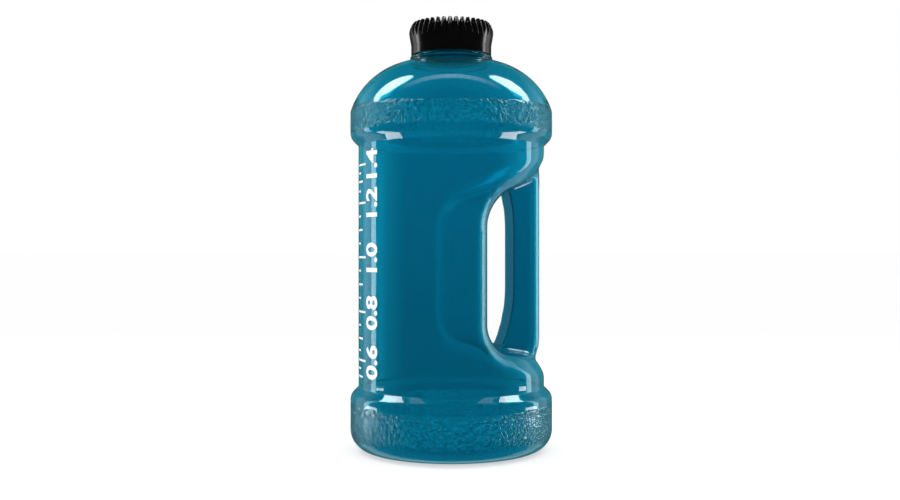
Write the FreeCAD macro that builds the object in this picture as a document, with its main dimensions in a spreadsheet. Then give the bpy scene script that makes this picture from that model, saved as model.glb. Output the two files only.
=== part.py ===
import FreeCAD, Part
import Sketcher
import math
import os

# Large water jug: a blow-moulded bottle whose hollow handle bridges a deep slot in its round body, a fluted
# screw cap with a loose sealing disc, and a printed volume scale. The jug stands on z = 0 with its neck on
# the Z axis and its handle towards +X. Lengths are millimetres and angles are degrees.

DIMENSIONS = [
    ("BandRadius", 63.2, "outer radius of the two grip bands"),
    ("BodyRadius", 58.2, "outer radius of the body between the bands"),
    ("Wall", 1.4, "thickness of the blown wall"),
    ("FootCorner", 13.5, "radius of the corner under the lower band"),
    ("FootWidth", 3.0, "width of the flat standing ring"),
    ("PushAngle", 15.0, "slope where the pushed-up base starts"),
    ("LowerBandTop", 32.0, "height where the lower band ends"),
    ("BodyTop", 189.5, "height where the upper band starts to swell"),
    ("StepRise", 8.2, "height of the curve between body and band"),
    ("ShoulderHeight", 211.5, "height where the dome starts"),
    ("DomeRadius", 45.8, "radius of the dome's arc"),
    ("DomeLean", 18.0, "slope of the dome at its lower edge"),
    ("SlotWall", 8.0, "distance of the slot's back wall from the axis"),
    ("SlotFloor", 66.1, "height of the slot's floor at its back wall"),
    ("SlotCeiling", 154.2, "height of the slot's ceiling at its back wall"),
    ("FloorSlope", 10.0, "outward fall of the floor"),
    ("CeilingSlope", 21.0, "outward rise of the ceiling"),
    ("SlotCorner", 14.0, "radius of the slot's inner corners"),
    ("SlotRim", 12.0, "rounding where the slot meets the round body"),
    ("HandleInside", 40.0, "distance of the handle's inner face from the axis"),
    ("HandleOutside", 55.8, "distance of the handle's outer face from the axis"),
    ("HandleWidth", 22.0, "width of the handle"),
    ("HandleEdge", 6.0, "radius of the handle's long edges"),
    ("HandleRoot", 5.0, "rounding where the handle joins the body"),
    ("HandleFlare", 95.0, "radius of the flare at both ends of the handle"),
    ("HandleFlat", 18.0, "half height of the handle's straight middle"),
    ("HandleMiddle", 120.0, "height of the handle's middle"),
    ("HandleBottom", 48.0, "height of the handle's hidden lower end"),
    ("HandleTop", 183.0, "height of the handle's hidden upper end"),
    ("CollarRadius", 24.9, "radius of the collar under the support ring"),
    ("RingRadius", 25.8, "radius of the support ring"),
    ("RingBottom", 244.7, "height of the ring's underside"),
    ("RingTop", 246.0, "height of the ring's upper side"),
    ("NeckRadius", 20.9, "outer radius of the neck inside the cap"),
    ("BoreRadius", 18.9, "radius of the mouth"),
    ("ThroatRadius", 22.4, "inner radius where the bore opens into the dome"),
    ("LipHeight", 260.75, "height of the sealing lip"),
    ("ThreadLead", 6.0, "rise of the screw thread in one turn"),
    ("ThreadHeight", 7.0, "height climbed by each thread"),
    ("ThreadRoot", 2.4, "width of the thread at its root"),
    ("ThreadCrest", 1.2, "width of the thread at its crest"),
    ("ThreadDepth", 1.3, "height of the thread above its wall"),
    ("ThreadSink", 0.4, "depth of the thread's root inside its wall"),
    ("ThreadStart", 250.0, "height of the middle of the neck's thread at its start"),
    ("ThreadBelow", 2.3, "how far the cap's thread lies below the neck's"),
    ("CapBottom", 247.0, "height of the cap's lower edge"),
    ("CapSkirt", 25.2, "outer radius of the cap's skirt"),
    ("CapSkirtTop", 253.0, "height where the skirt starts to flare"),
    ("CapWidest", 26.5, "largest radius of the cap"),
    ("CapWidestHeight", 260.5, "height of the largest radius"),
    ("CapTop", 267.4, "height of the crown's top"),
    ("CrownOutside", 24.0, "outer radius of the crown's top"),
    ("CrownInside", 22.6, "radius of the hollow in the crown"),
    ("CrownFloor", 264.0, "height of the hollow's floor"),
    ("CapBore", 22.6, "inner radius of the cap's thread wall"),
    ("CapSeat", 21.6, "inner radius around the sealing disc"),
    ("CapSeatBottom", 259.2, "height where the seat starts"),
    ("CapBead", 21.25, "inner radius of the bead that holds the disc"),
    ("BeadGap", 0.3, "space between bead and disc, and half of the bead's height"),
    ("CapCeiling", 262.2, "height of the cap's inner ceiling"),
    ("FluteCount", 38, "number of flutes"),
    ("FluteStart", 256.5, "height where a flute reaches the cap's side"),
    ("FluteSlope", 25.6, "lean of a flute's floor from the vertical"),
    ("FluteHalfAngle", 30.0, "half of the flute's opening angle"),
    ("DiscRadius", 21.4, "radius of the sealing disc"),
    ("DiscBottom", 260.8, "height of the disc's underside"),
    ("DiscThickness", 1.35, "thickness of the sealing disc"),
    ("InkThickness", 0.12, "thickness of the print"),
    ("InkGap", 0.03, "gap between the body and the print"),
    ("ScaleTurn", 176.0, "angle around the axis where every mark starts, from +X"),
    ("FirstMark", 500, "volume of the lowest mark, in millilitres"),
    ("LastMark", 1400, "volume of the highest mark, in millilitres"),
    ("MarkStep", 50, "volume between two marks, in millilitres"),
    ("MarkHeight", 1.2, "height of one mark"),
    ("LongMark", 14.0, "angle covered by a mark of full 200 ml"),
    ("MiddleMark", 9.0, "angle covered by a mark of full 100 ml"),
    ("ShortMark", 5.0, "angle covered by the other marks"),
]
SPARE = 12.0
SLICE = 4.0
TINY = 0.01
LEAST_SLOT = 0.05
LEAST_FLUTE = 1.0
LONG_EVERY = 200
MIDDLE_EVERY = 100
MM3_PER_ML = 1000

doc = FreeCAD.newDocument("WaterJug")
sheet = doc.addObject("Spreadsheet::Sheet", "Dims")
for row, (alias, value, meaning) in enumerate(DIMENSIONS, start=1):
    sheet.set(f"A{row}", meaning)
    sheet.set(f"B{row}", str(value))
    sheet.setAlias(f"B{row}", alias)
doc.recompute()


class Size:
    """A number together with the sheet expression that gives it."""

    def __init__(self, value, text):
        self.value = value
        self.text = text

    def __add__(self, other):
        other = as_size(other)
        return Size(self.value + other.value, f"({self.text} + {other.text})")

    def __sub__(self, other):
        other = as_size(other)
        return Size(self.value - other.value, f"({self.text} - {other.text})")

    def __mul__(self, other):
        other = as_size(other)
        return Size(self.value * other.value, f"({self.text} * {other.text})")

    def __truediv__(self, other):
        other = as_size(other)
        return Size(self.value / other.value, f"({self.text} / {other.text})")


def as_size(item):
    return item if isinstance(item, Size) else Size(float(item), str(item))


def dim(alias):
    return Size(float(sheet.get(alias)), f"Dims.{alias}")


def cosine(angle):
    return Size(math.cos(math.radians(angle.value)), f"cos({angle.text})")


def sine(angle):
    return Size(math.sin(math.radians(angle.value)), f"sin({angle.text})")


def tangent(angle):
    return Size(math.tan(math.radians(angle.value)), f"tan({angle.text})")


def root(square):
    return Size(math.sqrt(square.value), f"sqrt({square.text})")


def other_leg(long_side, leg):
    """The second leg of a right triangle."""
    return root(long_side * long_side - leg * leg)


ZERO = Size(0.0, "0")
LEFT = 1
RIGHT = -1


def plane_of(body, role):
    return next(plane for plane in body.Origin.OriginFeatures if plane.Role == role)


def new_body(name):
    body = doc.addObject("PartDesign::Body", name)
    body.Label = name
    return body


def new_sketch(body, name, role):
    sketch = body.newObject("Sketcher::SketchObject", name)
    sketch.AttachmentSupport = [(plane_of(body, role), "")]
    sketch.MapMode = "FlatFace"
    return sketch


def bind(sketch, index, name, size):
    sketch.renameConstraint(index, name)
    sketch.setExpression(f"Constraints.{name}", size.text)


def place(sketch, item, end, kind, name, size):
    """Ties one coordinate of a sketch point to its size."""
    if size.value == 0:
        axis = -2 if kind == "DistanceX" else -1
        sketch.addConstraint(Sketcher.Constraint("PointOnObject", item, end, axis))
    else:
        index = sketch.addConstraint(Sketcher.Constraint(kind, -1, 1, item, end, size.value))
        bind(sketch, index, name, size)


def draw(sketch, path):
    """Closed outline. Each entry is a corner (x, y) and the way to the next one: None, or (radius, turn)."""
    ends = []
    for number, (x, y, way) in enumerate(path):
        next_x, next_y = path[(number + 1) % len(path)][:2]
        start = FreeCAD.Vector(x.value, y.value)
        end = FreeCAD.Vector(next_x.value, next_y.value)
        if way is None:
            item = sketch.addGeometry(Part.LineSegment(start, end), False)
            first, last = 1, 2
        else:
            radius, turn = way
            chord = end - start
            bulge = radius.value - math.sqrt(radius.value ** 2 - chord.Length ** 2 / 4)
            outward = FreeCAD.Vector(chord.y, -chord.x).normalize() * turn
            middle = (start + end) / 2 + outward * bulge
            item = sketch.addGeometry(Part.Arc(start, middle, end), False)
            first, last = (1, 2) if turn == LEFT else (2, 1)
            bind(sketch, sketch.addConstraint(Sketcher.Constraint("Radius", item, radius.value)),
                 f"bend{number}", radius)
        place(sketch, item, first, "DistanceX", f"across{number}", x)
        place(sketch, item, first, "DistanceY", f"up{number}", y)
        ends.append((item, first, last))
    for number, (item, first, last) in enumerate(ends):
        next_item, next_first = ends[(number + 1) % len(ends)][:2]
        sketch.addConstraint(Sketcher.Constraint("Coincident", item, last, next_item, next_first))


def revolve(body, name, path):
    sketch = new_sketch(body, f"{name}_sketch", "XZ_Plane")
    draw(sketch, path)
    turned = body.newObject("PartDesign::Revolution", name)
    turned.Profile = sketch
    turned.ReferenceAxis = (sketch, ["V_Axis"])
    turned.Angle = 360
    doc.recompute()
    return turned


def round_edges(body, name, base, wanted, radius):
    """Fillets the base's edges that the test picks."""
    names = [f"Edge{number}" for number, edge in enumerate(base.Shape.Edges, start=1) if wanted(edge)]
    rounded = body.newObject("PartDesign::Fillet", name)
    rounded.Base = (base, names)
    rounded.setExpression("Radius", radius.text)
    doc.recompute()
    return rounded


def middle_of(edge):
    return edge.valueAt((edge.FirstParameter + edge.LastParameter) / 2)


# ---------------------------------------------------------------- bottle

def bottle_outline(inset, neck):
    """Half section of the bottle, drawn up from the base and moved inwards by inset, closed by the neck."""
    band, body, corner = dim("BandRadius"), dim("BodyRadius"), dim("FootCorner")
    foot_outside = band - corner
    foot_inside = foot_outside - dim("FootWidth")
    push = dim("PushAngle")
    push_edge = foot_inside - corner * sine(push)
    push_radius = push_edge / sine(push)
    push_top = corner - corner * cosine(push) + push_radius - push_radius * cosine(push)
    swell = band - body
    rise = dim("StepRise")
    bend = (rise * rise + swell * swell) / (swell * 4)
    lean_across = (bend - swell / 2) / bend
    lean_up = rise / 2 / bend
    dome, lean = dim("DomeRadius"), dim("DomeLean")
    dome_x = band - dome * cosine(lean)
    dome_z = dim("ShoulderHeight") - dome * sine(lean)
    neck_start = neck[0][0]
    base = [
        (ZERO, push_top + inset, (push_radius + inset, RIGHT)),
        (foot_inside - (corner - inset) * sine(push), corner - (corner - inset) * cosine(push),
         (corner - inset, LEFT)),
        (foot_inside, inset, None),
        (foot_outside, inset, (corner - inset, LEFT)),
    ]
    lower, upper = dim("LowerBandTop"), dim("BodyTop")
    side = [
        (band - inset, corner, None),
        (band - inset, lower, (bend - inset, LEFT)),
        (band - swell / 2 - inset * lean_across, lower + rise / 2 - inset * lean_up, (bend + inset, RIGHT)),
        (body - inset, lower + rise, None),
        (body - inset, upper, (bend + inset, RIGHT)),
        (body + swell / 2 - inset * lean_across, upper + rise / 2 + inset * lean_up, (bend - inset, LEFT)),
        (band - inset, upper + rise, None),
        (band - inset, dome_z + other_leg(dome - inset, band - inset - dome_x), (dome - inset, LEFT)),
        (neck_start, dome_z + other_leg(dome - inset, neck_start - dome_x), None),
    ]
    return base + side + [(r, z, None) for r, z in neck[1:]]


def slot_outline(inset):
    """The C-shaped slot behind the handle, widened by inset."""
    wall = dim("SlotWall") - inset
    far = dim("BandRadius") + SPARE
    rise, fall = dim("CeilingSlope"), dim("FloorSlope")
    reach = far - dim("SlotWall")

    def ceiling(distance):
        return dim("SlotCeiling") + inset / cosine(rise) + distance * tangent(rise)

    def floor(distance):
        return dim("SlotFloor") - inset / cosine(fall) - distance * tangent(fall)

    back = ZERO - inset
    return [(far, floor(reach), None), (far, ceiling(reach), None),
            (wall, ceiling(back), None), (wall, floor(back), None)]


def handle_outline(inset):
    """Side view of the handle: straight outside, flared inside towards both ends."""
    outside = dim("HandleOutside") - inset
    inside = dim("HandleInside") + inset
    flare = dim("HandleFlare")
    middle, flat = dim("HandleMiddle"), dim("HandleFlat")
    low, high = dim("HandleBottom"), dim("HandleTop")
    centre = dim("HandleInside") - flare
    arc = flare + inset
    low_x = centre + other_leg(arc, middle - flat - low)
    high_x = centre + other_leg(arc, high - middle - flat)
    return [(outside, low, None), (outside, high, None), (high_x, high, (arc, RIGHT)),
            (inside, middle + flat, None), (inside, middle - flat, (arc, RIGHT)), (low_x, low, None)]


def bottle_form(name, inset, neck):
    """Solid with the bottle's outer shape, drawn inwards by inset."""
    body = new_body(name)
    turned = revolve(body, f"{name}_turned", bottle_outline(inset, neck))

    slot_sketch = new_sketch(body, f"{name}_slot_sketch", "XZ_Plane")
    draw(slot_sketch, slot_outline(inset))
    slot = body.newObject("PartDesign::Pocket", f"{name}_slot")
    slot.Profile = slot_sketch
    slot.Midplane = True
    slot.setExpression("Length", (dim("BandRadius") * 2 + SPARE).text)
    doc.recompute()
    if slot.Shape.Volume > turned.Shape.Volume * (1 - LEAST_SLOT):
        raise RuntimeError(f"{name}: the slot removed no material")

    wall = dim("SlotWall").value - inset.value
    corners = round_edges(body, f"{name}_slot_corners", slot,
                          lambda edge: abs(middle_of(edge).x - wall) < TINY and abs(middle_of(edge).y) < TINY,
                          dim("SlotCorner") + inset)
    radius = dim("BodyRadius").value - inset.value

    def on_rim(edge):
        point = middle_of(edge)
        first = edge.valueAt(edge.FirstParameter)
        around = abs(math.hypot(point.x, point.y) - radius) < TINY and point.x > 0
        straight = math.hypot(first.x - point.x, first.y - point.y) < TINY
        inner = dim("SlotFloor").value - SPARE * 2 < point.z < dim("SlotCeiling").value + SPARE * 2
        return around and inner and (not straight or abs(point.x - wall) < TINY)

    rim = round_edges(body, f"{name}_rim", corners, on_rim, dim("SlotRim") - inset)

    handle_sketch = new_sketch(body, f"{name}_handle_sketch", "XZ_Plane")
    draw(handle_sketch, handle_outline(inset))
    handle = body.newObject("PartDesign::Pad", f"{name}_handle")
    handle.Profile = handle_sketch
    handle.Midplane = True
    handle.setExpression("Length", (dim("HandleWidth") - inset * 2).text)
    doc.recompute()

    side = dim("HandleWidth").value / 2 - inset.value
    outer = dim("HandleOutside").value - inset.value
    floor, ceiling = dim("SlotFloor").value, dim("SlotCeiling").value
    low, high = dim("HandleBottom").value, dim("HandleTop").value

    def on_handle(edge):
        point = middle_of(edge)
        return abs(abs(point.y) - side) < TINY and floor < point.z < ceiling and point.x > wall + SPARE

    edges = round_edges(body, f"{name}_handle_edges", handle, on_handle, dim("HandleEdge") - inset)

    def on_root(edge):
        points = [vertex.Point for vertex in edge.Vertexes] + [middle_of(edge)]
        on_bar = all(abs(point.y) < side + TINY and wall + SPARE < point.x < outer + TINY for point in points)
        at_floor = all(low < point.z < floor for point in points)
        at_ceiling = all(ceiling < point.z < high for point in points)
        return on_bar and (at_floor or at_ceiling)

    round_edges(body, f"{name}_handle_roots", edges, on_root, dim("HandleRoot") + inset)
    return body


def helix_thread(name, radius, start, outward):
    """A trapezoid thread swept along a helix; outward is 1 on the neck and -1 inside the cap."""
    helix = doc.addObject("Part::Helix", f"{name}_helix")
    helix.setExpression("Pitch", dim("ThreadLead").text)
    helix.setExpression("Height", dim("ThreadHeight").text)
    helix.setExpression("Radius", radius.text)
    helix.setExpression("Placement.Base.z", start.text)
    section = doc.addObject("Sketcher::SketchObject", f"{name}_section")
    section.Placement = FreeCAD.Placement(FreeCAD.Vector(), FreeCAD.Rotation(FreeCAD.Vector(1, 0, 0), 90))
    sunk = radius - dim("ThreadSink") * outward
    crest = radius + dim("ThreadDepth") * outward
    half_root, half_crest = dim("ThreadRoot") / 2, dim("ThreadCrest") / 2
    draw(section, [(sunk, start - half_root, None), (crest, start - half_crest, None),
                   (crest, start + half_crest, None), (sunk, start + half_root, None)])
    thread = doc.addObject("Part::Sweep", name)
    thread.Sections = [section]
    thread.Spine = helix
    thread.Solid = True
    thread.Frenet = True
    doc.recompute()
    return thread


def boolean(kind, name, base, tool):
    joined = doc.addObject(f"Part::{kind}", name)
    joined.Base = base
    joined.Tool = tool
    joined.Label = name
    doc.recompute()
    return joined


def make_bottle():
    collar, ring, neck = dim("CollarRadius"), dim("RingRadius"), dim("NeckRadius")
    bore, lip = dim("BoreRadius"), dim("LipHeight")
    outside_neck = [(collar, ZERO), (collar, dim("RingBottom")), (ring, dim("RingBottom")),
                    (ring, dim("RingTop")), (neck, dim("RingTop")), (neck, lip), (ZERO, lip)]
    inside_neck = [(dim("ThroatRadius"), ZERO), (bore, dim("RingTop")), (bore, lip + SPARE),
                   (ZERO, lip + SPARE)]
    outside = bottle_form("bottle_outside", ZERO, outside_neck)
    inside = bottle_form("bottle_inside", dim("Wall"), inside_neck)
    shell = boolean("Cut", "bottle_shell", outside, inside)
    thread = helix_thread("neck_thread", neck, dim("ThreadStart"), 1)
    return boolean("Fuse", "bottle", shell, thread)


# ---------------------------------------------------------------- cap

def make_cap():
    body = new_body("cap_form")
    bottom, skirt, widest = dim("CapBottom"), dim("CapSkirt"), dim("CapWidest")
    bore, seat, bead = dim("CapBore"), dim("CapSeat"), dim("CapBead")
    ceiling, disc = dim("CapCeiling"), dim("DiscBottom")
    bead_top, bead_bottom = disc - dim("BeadGap"), disc - dim("BeadGap") * 3
    top, crown = dim("CapTop"), dim("CrownFloor")
    round_top = top - dim("CapWidestHeight")
    across = widest - dim("CrownOutside")
    crown_bend = (round_top * round_top + across * across) / (across * 2)
    turned = revolve(body, "cap_turned", [
        (ZERO, ceiling, None), (seat, ceiling, None), (seat, bead_top, None), (bead, bead_top, None),
        (bead, bead_bottom, None), (seat, bead_bottom, None), (seat, dim("CapSeatBottom"), None),
        (bore, dim("CapSeatBottom") - (bore - seat), None), (bore, bottom, None), (skirt, bottom, None),
        (skirt, dim("CapSkirtTop"), None), (widest, dim("CapWidestHeight"), (crown_bend, LEFT)),
        (dim("CrownOutside"), top, None), (dim("CrownInside"), top, None),
        (dim("CrownInside"), crown, None), (ZERO, crown, None)])

    lean, half_angle = dim("FluteSlope"), dim("FluteHalfAngle")
    outer = widest + SPARE
    cut = body.newObject("PartDesign::SubtractiveLoft", "flute")
    sections = []
    for name, height in (("flute_low", dim("CapWidestHeight") - SPARE), ("flute_high", top + SPARE)):
        tip = widest - (height - dim("FluteStart")) * tangent(lean)
        half = (outer - tip) * tangent(half_angle)
        section = new_sketch(body, name, "XY_Plane")
        section.setExpression("AttachmentOffset.Base.z", height.text)
        draw(section, [(tip, ZERO, None), (outer, half, None), (outer, ZERO - half, None)])
        sections.append(section)
    cut.Profile = sections[0]
    cut.Sections = [sections[1]]
    cut.Ruled = True
    doc.recompute()
    if cut.Shape.Volume > turned.Shape.Volume - LEAST_FLUTE:
        raise RuntimeError("the flute removed no material")
    ring = body.newObject("PartDesign::PolarPattern", "flutes")
    ring.Originals = [cut]
    ring.Axis = (new_axis(body), [""])
    ring.setExpression("Occurrences", dim("FluteCount").text)
    ring.Angle = 360
    body.Tip = ring
    doc.recompute()
    thread_start = dim("ThreadStart") - dim("ThreadBelow")
    thread = helix_thread("cap_thread", bore, thread_start, -1)
    return boolean("Fuse", "cap_shell", body, thread)


def new_axis(body):
    return next(axis for axis in body.Origin.OriginFeatures if axis.Role == "Z_Axis")


def make_disc():
    disc = doc.addObject("Part::Cylinder", "cap_liner")
    disc.Label = "cap_liner"
    disc.setExpression("Radius", dim("DiscRadius").text)
    disc.setExpression("Height", dim("DiscThickness").text)
    disc.setExpression("Placement.Base.z", dim("DiscBottom").text)
    doc.recompute()
    return disc


# ---------------------------------------------------------------- print

def fill_heights(hollow, volumes):
    """Height of the water for each volume, from level slices through the hollow."""
    heights = []
    level = dim("FootCorner").value
    below = FreeCAD.Vector(-SPARE * 10, -SPARE * 10, 0)
    held = hollow.common(Part.makeBox(SPARE * 20, SPARE * 20, level, below)).Volume
    area = level_area(hollow, level)
    for volume in volumes:
        while held < volume:
            next_area = level_area(hollow, level + SLICE)
            layer = (area + next_area) / 2 * SLICE
            level += SLICE
            held += layer
            area = next_area
        heights.append(level - (held - volume) / layer * SLICE)
    return heights


def level_area(hollow, level):
    return sum(Part.Face(wire).Area for wire in hollow.slice(FreeCAD.Vector(0, 0, 1), level))


def make_scale():
    """Marks of the volume scale, each a thin curved strip on the body at its true fill height."""
    inside = dim("BodyRadius") + dim("InkGap")
    outside = inside + dim("InkThickness")
    step, first, last = (int(dim(alias).value) for alias in ("MarkStep", "FirstMark", "LastMark"))
    volumes = range(first, last + step, step)
    hollow = doc.getObject("bottle_inside").Shape
    marks = []
    for volume, height in zip(volumes, fill_heights(hollow, [volume * MM3_PER_ML for volume in volumes])):
        sweep = dim("ShortMark")
        if volume % LONG_EVERY == 0:
            sweep = dim("LongMark")
        elif volume % MIDDLE_EVERY == 0:
            sweep = dim("MiddleMark")
        outer = ring_part(f"mark_{volume}_outer", outside, as_size(height), sweep)
        inner = ring_part(f"mark_{volume}_inner", inside, as_size(height), sweep)
        marks.append(boolean("Cut", f"mark_{volume}", outer, inner))
    scale = doc.addObject("Part::Compound", "printed_scale")
    scale.Label = "printed_scale"
    scale.Links = marks
    doc.recompute()
    return scale


def ring_part(name, radius, height, sweep):
    wedge = doc.addObject("Part::Cylinder", name)
    wedge.setExpression("Radius", radius.text)
    wedge.setExpression("Height", dim("MarkHeight").text)
    wedge.setExpression("Angle", sweep.text)
    wedge.setExpression("Placement.Base.z", (height - dim("MarkHeight") / 2).text)
    wedge.setExpression("Placement.Rotation.Angle", dim("ScaleTurn").text)
    return wedge


PIECES = [make_bottle(), make_cap(), make_disc(), make_scale()]

for item in doc.Objects:
    if "Invalid" in item.State or "Error" in item.State:
        raise RuntimeError(f"{item.Name} is not up to date: {item.State}")
for piece in PIECES:
    if piece.Shape.isNull() or not piece.Shape.isValid():
        raise RuntimeError(f"{piece.Label} has no valid shape")

os.makedirs("parts", exist_ok=True)
for piece in PIECES:
    piece.Shape.exportStep(f"parts/{piece.Label}.step")
    print(f"{piece.Label}: {len(piece.Shape.Solids)} solid(s), {piece.Shape.Volume / 1000:.2f} ml")
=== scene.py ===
import bmesh
import bpy
import math
import numpy as np
from mathutils import Matrix, Vector, noise


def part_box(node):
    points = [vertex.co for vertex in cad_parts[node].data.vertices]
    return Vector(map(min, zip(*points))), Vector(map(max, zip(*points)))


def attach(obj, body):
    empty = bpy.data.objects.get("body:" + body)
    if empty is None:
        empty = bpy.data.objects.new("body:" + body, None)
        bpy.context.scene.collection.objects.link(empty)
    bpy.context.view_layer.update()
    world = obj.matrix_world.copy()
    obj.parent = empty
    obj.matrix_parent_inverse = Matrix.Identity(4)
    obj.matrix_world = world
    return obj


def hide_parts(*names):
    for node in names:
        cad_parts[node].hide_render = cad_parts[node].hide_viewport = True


# A see-through blow-moulded water jug with a fluted black cap. Every visible piece is built here as a fine
# mesh inside the box of the CAD node that it stands for. Lengths of the object are millimetres, and MM turns
# them into the scene's metres. The studio's lengths are metres.

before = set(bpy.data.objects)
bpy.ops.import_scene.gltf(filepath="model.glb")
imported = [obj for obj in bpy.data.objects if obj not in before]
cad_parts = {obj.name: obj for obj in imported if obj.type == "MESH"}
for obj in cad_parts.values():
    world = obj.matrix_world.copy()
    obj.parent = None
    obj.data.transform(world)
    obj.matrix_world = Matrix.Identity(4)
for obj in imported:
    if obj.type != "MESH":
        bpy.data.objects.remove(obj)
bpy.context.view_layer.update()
MM = 0.001
TINY = 1e-9


def box_mm(node):
    """Lowest and highest corner of a CAD node, in millimetres."""
    low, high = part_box(node)
    return np.array(low) / MM, np.array(high) / MM


BOTTLE_HIGH = box_mm("bottle")[1]
CAP_HIGH = box_mm("cap_shell")[1]
DISC_LOW, DISC_HIGH = box_mm("cap_liner")

# Bottle, drawn around the Z axis with the handle towards +X: radii, heights and corner radii.
BAND = BOTTLE_HIGH[0]
BODY = BAND - 5.0
WALL = 1.4
FOOT_CORNER = 13.5
FOOT_WIDTH = 3.0
PUSH_SLOPE = math.radians(15)
LOWER_BAND_TOP = 32.0
BODY_TOP = 189.5
STEP_RISE = 8.2
STEP_SLOPE = 45
STEP_OUTER = 6.5
STEP_INNER = 1.2
SHOULDER = 211.5
SHOULDER_CORNER = 7
DOME = 45.8
DOME_LEAN = math.radians(18)
DOME_FROM = 1.35
COLLAR = 24.9
COLLAR_INSET = 1.8
RING = 25.8
RING_BOTTOM = 244.7
RING_TOP = 246.0
NECK = 20.9
LIP = BOTTLE_HIGH[2]
BORE = 18.9
BORE_CORNER = 3
THROAT = 22.4

# Slot behind the handle, and the handle itself. A facet is flat: its share of the distance to each of the
# two faces that it lies between, and how far it is cut in.
SLOT_WALL = 8.0
SLOT_FLOOR = 66.1
SLOT_CEILING = 154.2
FLOOR_SLOPE = math.radians(10)
CEILING_SLOPE = math.radians(21)
SLOT_CORNER = 14.0
SLOT_RIM = 13.0
RIM_FACET = (0.806, 0.539, 5.3)
HANDLE_INSIDE = 38.7
HANDLE_OUTSIDE = 56.6
HANDLE_HALF = 11.0
HANDLE_EDGE = 3.5
HANDLE_FACET = (0.573, 0.819, 2.6)
FACET_EDGE = 0.4
HANDLE_ROOT = 5.0
HANDLE_FLARE = 95.0
FLARE_PART = 0.9
HANDLE_MIDDLE = 120.0
HANDLE_FLAT = 18.0
HANDLE_SINK_FROM = 52.0
HANDLE_SINK_RATE = 40.0

# Where the free-form middle of the body meets its turned ends, and how finely each part is meshed.
JOIN_LOW = 41.5
JOIN_HIGH = 188.0
CELL = 2.2
CELL_CORNERS = 8
OUTSIDE_STEP = 0.8
INSIDE_STEP = 2.6
PUSH_STEP = 9
NECK_STEP = 0.7
GRAIN_COLUMNS = 440
STEP_COLUMNS = 240
SMOOTH_COLUMNS = 200
INSIDE_COLUMNS = 120
CLOSE = 0.01

# Hammered grain of the two bands: where the fine rows start and end, and at which heights the pebbles
# start, are full, start to fade and end.
GRAIN_FROM = 6.0
GRAIN_TO = 213.2
LOWER_PEBBLES = (7.0, 10.5, 29.0, 30.5)
UPPER_PEBBLES = (197.6, 199.0, 211.4, 212.6)
PEBBLE_HEIGHT = 0.18
PEBBLE_SIZE = 1.9
PEBBLE_VALLEY = 0.4
PEBBLE_LEVEL = 0.35
PEBBLE_MIDDLE = 0.7
PEBBLE_UNEVEN = 0.5
PEBBLE_SEED = 1

# How finely the pebbles' drift and height vary, in pebbles, and how far the drift goes.
SLOW, SLOW_DRIFT = 0.45, 0.9
QUICK, QUICK_DRIFT = 1.3, 0.3
PATCHES = 0.8

# Thread of the neck and the cap: it climbs LEAD in a turn, and fades in and out over a part of a turn.
LEAD = 6.0
THREAD_CLIMB = 7.0
THREAD_FADE = 0.05
THREAD_FOOT_HALF = 1.2
THREAD_FLANK = 0.6
THREAD_HEIGHT = 1.3
NECK_THREAD_START = 250.0
CAP_THREAD_START = 247.7

# Cap, with its flutes cut by a leaning wedge, and the liner's seat with the bead that holds it.
CAP_BOTTOM = 247.0
CAP_TOP = CAP_HIGH[2]
CAP_CROWN = 264.0
CAP_DISH = 22.6
CAP_TOP_EDGE = 24.0
CAP_WIDEST = 26.5
CAP_WIDEST_AT = 260.5
CAP_SKIRT = 25.2
CAP_SKIRT_TOP = 253.0
CAP_BORE = 22.6
CAP_BORE_TOP = 258.2
SEAT = 21.6
SEAT_ROOF = 262.2
SEAT_BOTTOM = 259.2
BEAD = 21.25
BEAD_HIGH = 260.5
BEAD_LOW = 259.9
BEAD_SLOPE = 0.2
CAP_STEP = 0.55
CROWN_STEP = 0.4
CAP_COLUMNS = 190
FLUTES = 38
FLUTE_COLUMNS = 14
FLUTE_FROM = 254.0
FLUTE_START = 256.5
FLUTE_LEAN = math.radians(25.6)
FLUTE_HALF_ANGLE = math.radians(30)
FLUTE_SMOOTH = 0.18
FLUTE_FLOOR = CAP_CROWN + 0.3

# Liner: a thin disc with a shallow ring pressed in by the neck's lip.
PRESS_DEPTH = 0.08
PRESS_IN = (18.7, 19.0)
PRESS_OUT = (20.8, 21.0)
DISC_STEP = 0.9
DISC_COLUMNS = 160

# White print, which stands just off the body.
INK_IN = BODY + 0.03
INK_OUT = BODY + 0.15
LONG_MARK = math.radians(12)
NUMERAL_SIZE = 17.0
NUMERAL_BOLD = 0.026
NUMERAL_GAP = math.radians(7.5)
FIRST_LITRES = 0.6
LITRES_STEP = 0.2
PRINT_FROM, PRINT_TO, PRINT_STRIP = 170, 215, 1.5


# ------------------------------------------------------------------ shape of the middle of the body

def round_and(first, second, radius):
    """Distance to the overlap of two shapes, with its edge rounded."""
    reach = np.hypot(np.maximum(first + radius, 0), np.maximum(second + radius, 0))
    return np.minimum(-radius, np.maximum(first, second)) + reach


def round_or(first, second, radius):
    """Distance to two shapes joined, with the corner between them filled."""
    reach = np.hypot(np.maximum(radius - first, 0), np.maximum(radius - second, 0))
    return np.maximum(radius, np.minimum(first, second)) - reach


def slotted_body(x, y, z):
    """Distance to the round body with the slot cut out and its rim rounded."""
    ceiling = (z - SLOT_CEILING - (x - SLOT_WALL) * math.tan(CEILING_SLOPE)) * math.cos(CEILING_SLOPE)
    floor = (SLOT_FLOOR - (x - SLOT_WALL) * math.tan(FLOOR_SLOPE) - z) * math.cos(FLOOR_SLOPE)
    slot = round_and(round_and(SLOT_WALL - x, ceiling, SLOT_CORNER), floor, SLOT_CORNER)
    around = np.hypot(x, y) - BODY
    facet = RIM_FACET[0] * around - RIM_FACET[1] * slot + RIM_FACET[2]
    return round_and(round_and(around, -slot, SLOT_RIM), facet, FACET_EDGE)


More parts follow.
